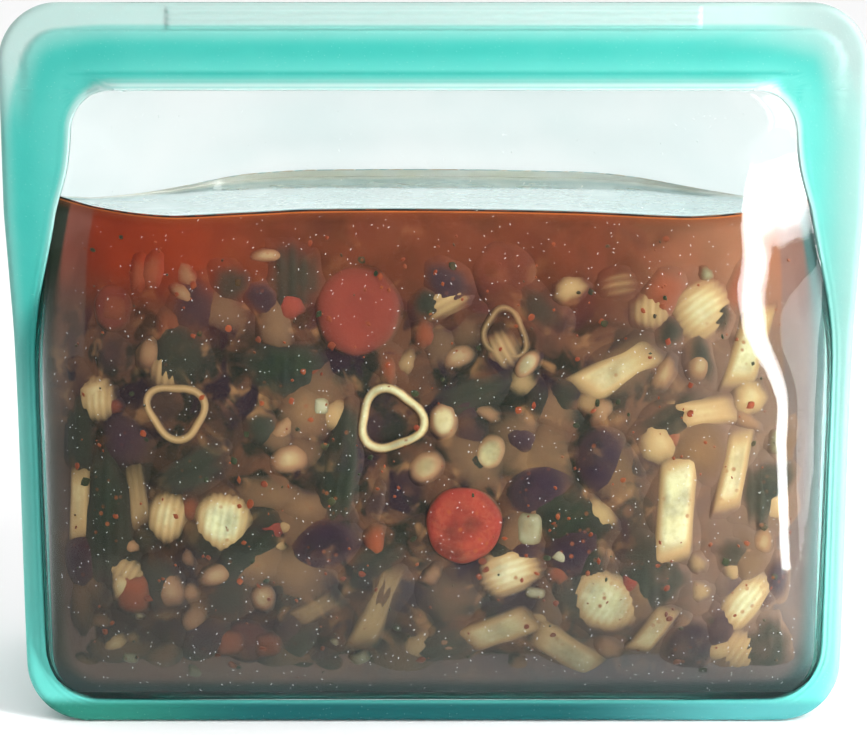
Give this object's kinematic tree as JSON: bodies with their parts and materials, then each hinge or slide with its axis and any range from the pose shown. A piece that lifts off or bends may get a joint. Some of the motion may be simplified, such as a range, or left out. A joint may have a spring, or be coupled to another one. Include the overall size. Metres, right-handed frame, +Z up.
{
  "type": "reusable silicone storage bag",
  "caption": "Stand-up silicone food bag with clear windows in an aqua frame, a gusseted base and a press-seal mouth whose two sides swing open.",
  "frame": {"origin": "on the floor under the middle of the bag, the centre of its bounding box's base", "axes": "+X across the bag towards its right-hand side, -Y towards its front window, +Z up to the mouth"},
  "size_m": [0.2252, 0.0941, 0.185],
  "materials": {
    "frame_silicone": "smooth translucent aqua silicone, satin",
    "gusset_silicone": "thin translucent aqua silicone, satin",
    "lip_silicone": "thin pale aqua silicone, satin",
    "window_silicone": "clear glossy silicone with a faint aqua tint"
  },
  "bodies": {
    "bag_body": {"front_window": "window_silicone", "rear_window": "window_silicone", "front_rim": "frame_silicone", "rear_rim": "frame_silicone", "base_panel": "gusset_silicone", "left_side_web": "gusset_silicone", "right_side_web": "gusset_silicone", "left_side_flange": "frame_silicone", "right_side_flange": "frame_silicone", "left_top_corner": "frame_silicone", "right_top_corner": "frame_silicone"},
    "front_mouth": {"front_shoulder": "frame_silicone", "front_seal_strip": "frame_silicone", "front_pull_lip": "lip_silicone", "front_grip_pad": "lip_silicone"},
    "rear_mouth": {"rear_shoulder": "frame_silicone", "rear_seal_strip": "frame_silicone", "rear_pull_lip": "lip_silicone", "rear_grip_pad": "lip_silicone"}
  },
  "joints": [
    {"name": "front_mouth_opening", "type": "hinge", "parent": "bag_body", "child": "front_mouth", "pos_m": [0, -0.0134, 0.163], "axis": [1, 0, 0], "range_deg": [0, 38], "stiffness_Nm_per_rad": 0.01},
    {"name": "rear_mouth_opening", "type": "hinge", "parent": "bag_body", "child": "rear_mouth", "pos_m": [0, -0.0026, 0.163], "axis": [-1, 0, 0], "range_deg": [0, 38], "stiffness_Nm_per_rad": 0.01}
  ]
}
